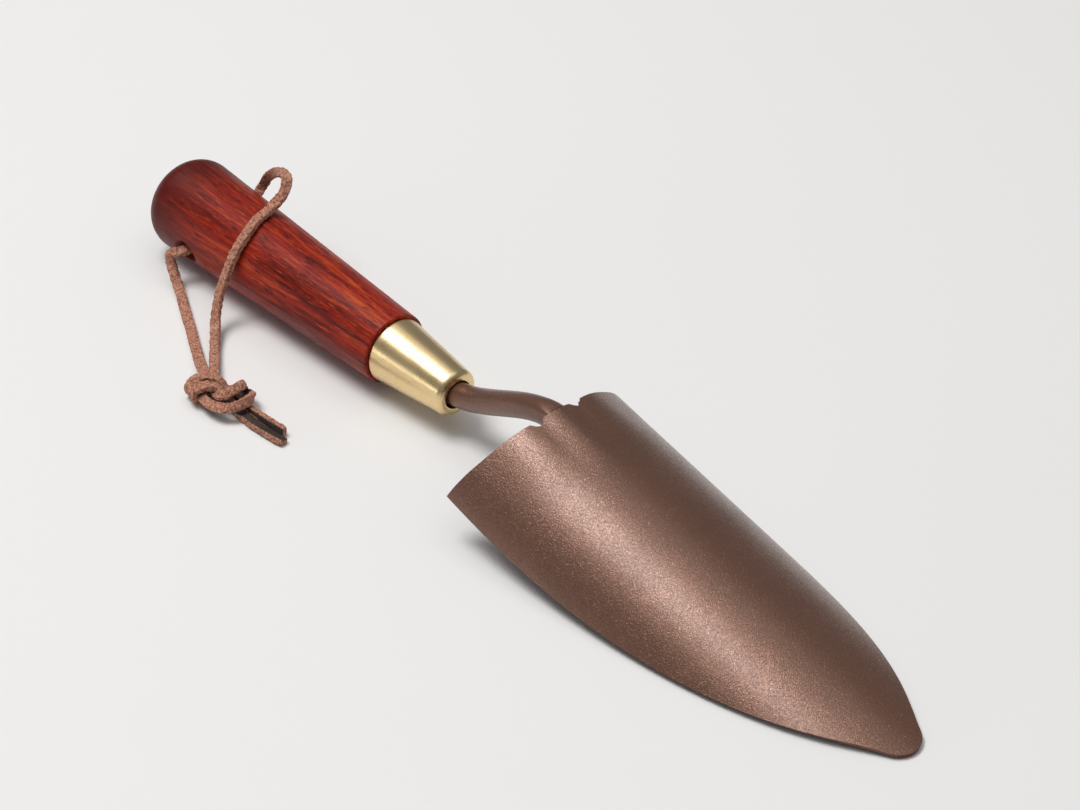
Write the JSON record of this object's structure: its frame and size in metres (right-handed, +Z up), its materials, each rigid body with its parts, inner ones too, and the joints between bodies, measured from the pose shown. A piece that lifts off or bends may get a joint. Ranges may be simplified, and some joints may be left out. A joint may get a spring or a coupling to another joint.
{
  "type": "hand trowel",
  "caption": "Garden hand trowel with a turned wooden handle, tapered brass ferrule, cranked rod, arched coated steel blade and a knotted leather lace to hang it by.",
  "frame": {"origin": "on the bench that the trowel lies on, halfway between the butt of the handle and the tip of the blade", "axes": "+X from the butt to the blade's tip, +Y across the blade, +Z up; the hollow side of the blade faces down"},
  "size_m": [0.3311, 0.0897, 0.0402],
  "materials": {
    "stained_wood": "red-brown stain under satin varnish",
    "satin_brass": "fine turned satin",
    "coated_steel": "fine textured copper-brown metallic powder coat",
    "set_adhesive": "matte",
    "suede_leather": "suede with one dark smooth face"
  },
  "bodies": {
    "trowel": {"handle": "stained_wood", "ferrule": "satin_brass", "tang_adhesive": "set_adhesive", "tang_rod": "coated_steel", "blade": "coated_steel", "weld_bead_near": "coated_steel", "weld_bead_far": "coated_steel"},
    "lace": {"lace_near_leg": "suede_leather", "lace_far_leg": "suede_leather", "lace_knot": "suede_leather", "lace_tail_long": "suede_leather", "lace_tail_short": "suede_leather"}
  },
  "joints": [
    {"name": "lace_swing", "type": "hinge", "parent": "trowel", "child": "lace", "pos_m": [-0.14199, 0, 0.01574], "axis": [0, -0.9613, -0.2756], "range_deg": [0, 150]}
  ]
}
